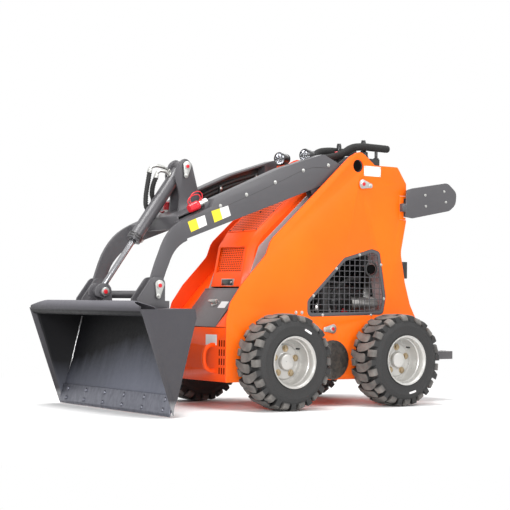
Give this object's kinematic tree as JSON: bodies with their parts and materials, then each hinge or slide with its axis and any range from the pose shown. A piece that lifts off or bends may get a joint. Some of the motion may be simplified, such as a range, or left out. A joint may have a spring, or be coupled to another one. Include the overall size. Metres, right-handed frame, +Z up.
{
  "type": "skid steer loader",
  "caption": "Stand-on compact skid steer loader with wheels, twin-arm boom, hydraulic cylinders and a tipped bucket.",
  "frame": {"origin": "on the ground, under the middle of the machine's whole box", "axes": "+X forward towards the bucket, +Y to the machine's left, +Z up"},
  "size_m": [2.319, 1.185, 1.4948],
  "materials": {
    "orange_paint": "orange powder coat, satin gloss",
    "grey_paint": "dark grey paint, satin",
    "black_paint": "black paint, satin",
    "tyre_rubber": "black tyre rubber, dusty lugs",
    "rim_paint": "silver grey wheel paint",
    "axle_casting": "dark cast iron",
    "engine_mass": "dark light-alloy castings",
    "muffler_steel": "bare steel",
    "chrome_rod": "ground chrome",
    "edge_steel": "dark wear steel",
    "black_foam": "black foam rubber grip",
    "black_plastic": "black moulded plastic"
  },
  "bodies": {
    "chassis": {"front_axle": "axle_casting", "rear_axle": "axle_casting", "side_panel_left": "orange_paint", "side_panel_right": "orange_paint", "inner_plate_left": "grey_paint", "inner_plate_right": "grey_paint", "belly_pan": "orange_paint", "front_plate": "orange_paint", "slot_floor_left": "orange_paint", "slot_floor_right": "orange_paint", "hood": "orange_paint", "nose_grille": "orange_paint", "dash_and_levers": "black_paint", "hand_bar": "black_foam", "work_lights": "black_plastic", "operator_platform": "grey_paint", "hip_pad_left": "grey_paint", "hip_pad_right": "grey_paint", "engine_block": "engine_mass", "muffler": "muffler_steel", "window_guard_left": "black_paint", "window_guard_right": "black_paint", "service_cover_left": "black_paint", "service_cover_right": "black_paint"},
    "front_lid": {"front_lid": "grey_paint"},
    "boom": {"boom_arm_left": "grey_paint", "boom_arm_right": "grey_paint", "boom_crossmember": "grey_paint"},
    "bucket": {"attach_frame": "grey_paint", "bucket_shell": "grey_paint", "cutting_edge": "edge_steel"},
    "lift_barrels": {"lift_barrel_left": "black_paint", "lift_barrel_right": "black_paint"},
    "lift_rods": {"lift_rod_left": "chrome_rod", "lift_rod_right": "chrome_rod"},
    "tilt_barrel": {"tilt_barrel": "grey_paint"},
    "tilt_rod": {"tilt_rod": "chrome_rod"},
    "wheel_front_left": {"tyre_front_left": "tyre_rubber", "rim_front_left": "rim_paint"},
    "wheel_front_right": {"tyre_front_right": "tyre_rubber", "rim_front_right": "rim_paint"},
    "wheel_rear_left": {"tyre_rear_left": "tyre_rubber", "rim_rear_left": "rim_paint"},
    "wheel_rear_right": {"tyre_rear_right": "tyre_rubber", "rim_rear_right": "rim_paint"}
  },
  "joints": [
    {"name": "boom_lift", "type": "hinge", "parent": "chassis", "child": "boom", "pos_m": [-0.4345, 0, 1.22378], "axis": [0, -1, 0], "range_deg": [-22, 54]},
    {"name": "bucket_tilt", "type": "hinge", "parent": "boom", "child": "bucket", "pos_m": [0.9015, 0, 0.63978], "axis": [0, 1, 0], "range_deg": [-102, 8]},
    {"name": "lid_hinge", "type": "hinge", "parent": "chassis", "child": "front_lid", "pos_m": [0.2955, 0, 0.62878], "axis": [0, -1, 0], "range_deg": [0, 85]},
    {"name": "lift_barrel_swing", "type": "hinge", "parent": "chassis", "child": "lift_barrels", "pos_m": [-0.2245, 0, 0.42078], "axis": [0, -1, 0], "range_deg": [-2, 4]},
    {"name": "lift_rod_slide", "type": "slide", "parent": "lift_barrels", "child": "lift_rods", "axis": [0.0971, 0, 0.9953], "range_m": [-0.108, 0.258]},
    {"name": "tilt_barrel_swing", "type": "hinge", "parent": "boom", "child": "tilt_barrel", "pos_m": [0.5765, 0, 1.27578], "axis": [0, 1, 0], "range_deg": [-2, 2]},
    {"name": "tilt_rod_slide", "type": "slide", "parent": "tilt_barrel", "child": "tilt_rod", "axis": [0.5835, 0, -0.8121], "range_m": [-0.25, 0.022]},
    {"name": "wheel_spin_front_left", "type": "hinge", "parent": "chassis", "child": "wheel_front_left", "pos_m": [0.189, 0.417, 0.25278], "axis": [0, 1, 0], "continuous": true},
    {"name": "wheel_spin_front_right", "type": "hinge", "parent": "chassis", "child": "wheel_front_right", "pos_m": [0.189, -0.417, 0.25278], "axis": [0, 1, 0], "continuous": true},
    {"name": "wheel_spin_rear_left", "type": "hinge", "parent": "chassis", "child": "wheel_rear_left", "pos_m": [-0.574, 0.417, 0.25278], "axis": [0, 1, 0], "continuous": true},
    {"name": "wheel_spin_rear_right", "type": "hinge", "parent": "chassis", "child": "wheel_rear_right", "pos_m": [-0.574, -0.417, 0.25278], "axis": [0, 1, 0], "continuous": true}
  ],
  "couplings": [
    {"joint": "lift_barrel_swing", "follows": "boom_lift", "ratio": 0.055},
    {"joint": "lift_rod_slide", "follows": "boom_lift", "m_per_rad": 0.268},
    {"joint": "tilt_barrel_swing", "follows": "bucket_tilt", "ratio": -0.0152},
    {"joint": "tilt_rod_slide", "follows": "bucket_tilt", "m_per_rad": 0.1378}
  ]
}
